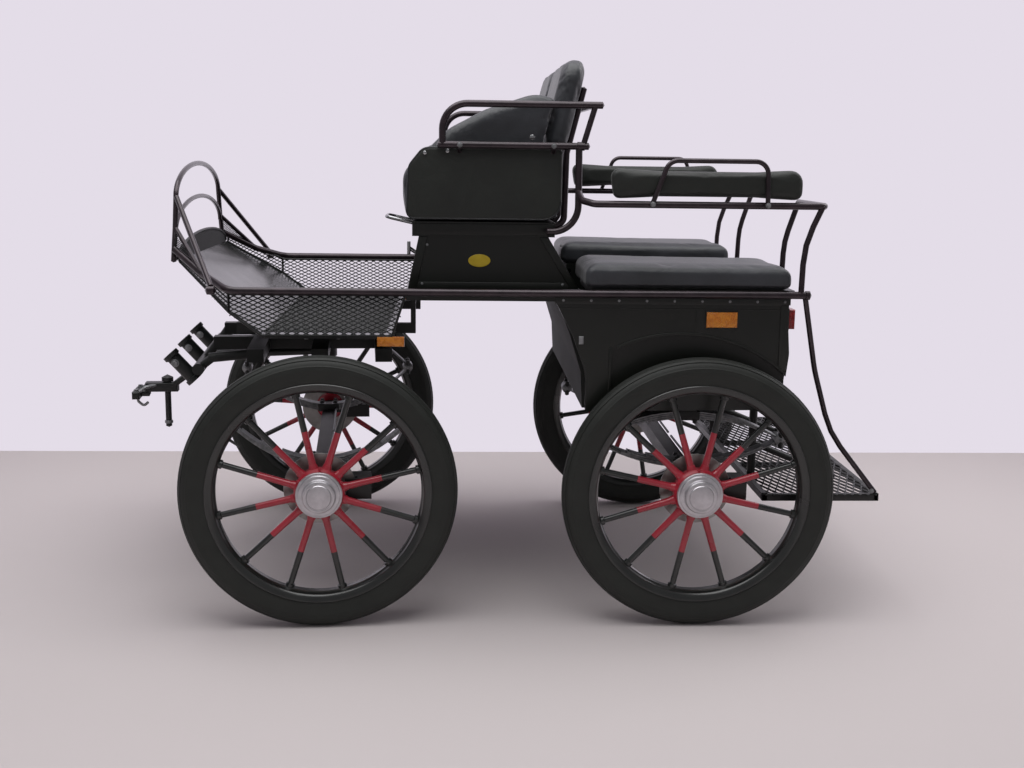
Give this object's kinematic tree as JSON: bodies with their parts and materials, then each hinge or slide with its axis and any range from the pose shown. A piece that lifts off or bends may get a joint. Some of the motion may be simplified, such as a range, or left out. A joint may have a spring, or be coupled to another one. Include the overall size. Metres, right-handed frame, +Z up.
{
  "type": "four-wheeled horse drawn carriage",
  "caption": "Light horse carriage with a raised driver's bench over a mesh foot basket, side benches behind, a steering fore-carriage, free-turning spoked wheels and a rear door.",
  "frame": {"origin": "on the ground at the middle of the whole length and width", "axes": "+X forward, +Y to the carriage's left, +Z up"},
  "size_m": [2.34, 1.432, 1.6499],
  "materials": {
    "tyre_rubber": "moulded rubber",
    "red_spoke_paint": "gloss paint, red to mid spoke and black beyond",
    "satin_aluminium": "satin",
    "black_steel_paint": "semi-gloss",
    "grey_steel": "zinc plated and dull",
    "spring_steel": "galvanised",
    "black_mesh": "powder coated expanded metal",
    "black_sheet": "gloss",
    "burgundy_rail_paint": "metallic gloss",
    "black_body_paint": "gloss over smooth board",
    "black_leather": "grained coach leather",
    "bright_steel": "polished",
    "amber_plastic": "moulded reflector",
    "red_plastic": "moulded lens"
  },
  "bodies": {
    "wheel_front_left_body": {"tyre_front_left": "tyre_rubber", "wheel_front_left": "red_spoke_paint", "hub_cap_front_left": "satin_aluminium"},
    "wheel_front_right_body": {"tyre_front_right": "tyre_rubber", "wheel_front_right": "red_spoke_paint", "hub_cap_front_right": "satin_aluminium"},
    "wheel_rear_left_body": {"tyre_rear_left": "tyre_rubber", "wheel_rear_left": "red_spoke_paint", "hub_cap_rear_left": "satin_aluminium"},
    "wheel_rear_right_body": {"tyre_rear_right": "tyre_rubber", "wheel_rear_right": "red_spoke_paint", "hub_cap_rear_right": "satin_aluminium"},
    "fore_carriage": {"turntable_lower": "black_steel_paint", "fore_frame": "black_steel_paint", "hitch_sockets": "grey_steel", "pole_head": "black_steel_paint", "front_axle": "black_steel_paint", "front_springs": "spring_steel"},
    "carriage": {"body_frame": "black_steel_paint", "turntable_upper": "black_steel_paint", "basket_floor": "black_steel_paint", "toe_board": "black_sheet", "basket_sides": "black_mesh", "dash_panel": "black_mesh", "rein_hoops": "burgundy_rail_paint", "side_rails": "burgundy_rail_paint", "seat_deck": "black_body_paint", "seat_box": "black_body_paint", "seat_sides": "black_leather", "seat_cushion_left": "black_leather", "seat_cushion_right": "black_leather", "seat_bolster_left": "black_leather", "seat_bolster_right": "black_leather", "seat_back_left": "black_leather", "seat_back_right": "black_leather", "seat_back_frame": "burgundy_rail_paint", "armrests": "burgundy_rail_paint", "seat_controls": "bright_steel", "tub_floor": "black_body_paint", "tub_sides": "black_body_paint", "tub_front": "black_body_paint", "bench_boxes": "black_body_paint", "bench_cushion_left": "black_leather", "bench_cushion_right": "black_leather", "bench_back_left": "black_leather", "bench_back_right": "black_leather", "bench_rails": "burgundy_rail_paint", "rear_step": "black_steel_paint", "step_rails": "burgundy_rail_paint", "rear_axle": "black_steel_paint", "rear_springs": "spring_steel", "reflectors": "amber_plastic", "tail_lamps": "red_plastic"},
    "rear_door_body": {"rear_door": "black_body_paint"}
  },
  "joints": [
    {"name": "steering", "type": "hinge", "parent": "carriage", "child": "fore_carriage", "pos_m": [0.545, 0, 0.8], "axis": [0, 0, 1], "range_deg": [-64, 56]},
    {"name": "wheel_front_left_spin", "type": "hinge", "parent": "fore_carriage", "child": "wheel_front_left_body", "pos_m": [0.49966, 0.64842, 0.4], "axis": [-0.0698, 0.9976, 0], "continuous": true},
    {"name": "wheel_front_right_spin", "type": "hinge", "parent": "fore_carriage", "child": "wheel_front_right_body", "pos_m": [0.59034, -0.64842, 0.4], "axis": [-0.0698, 0.9976, 0], "continuous": true},
    {"name": "wheel_rear_left_spin", "type": "hinge", "parent": "carriage", "child": "wheel_rear_left_body", "pos_m": [-0.6, 0.65, 0.4], "axis": [0, 1, 0], "continuous": true},
    {"name": "wheel_rear_right_spin", "type": "hinge", "parent": "carriage", "child": "wheel_rear_right_body", "pos_m": [-0.6, -0.65, 0.4], "axis": [0, 1, 0], "continuous": true},
    {"name": "rear_door_hinge", "type": "hinge", "parent": "carriage", "child": "rear_door_body", "pos_m": [-0.878, 0.236, 0.82], "axis": [0, 0, -1], "range_deg": [0, 100]}
  ]
}
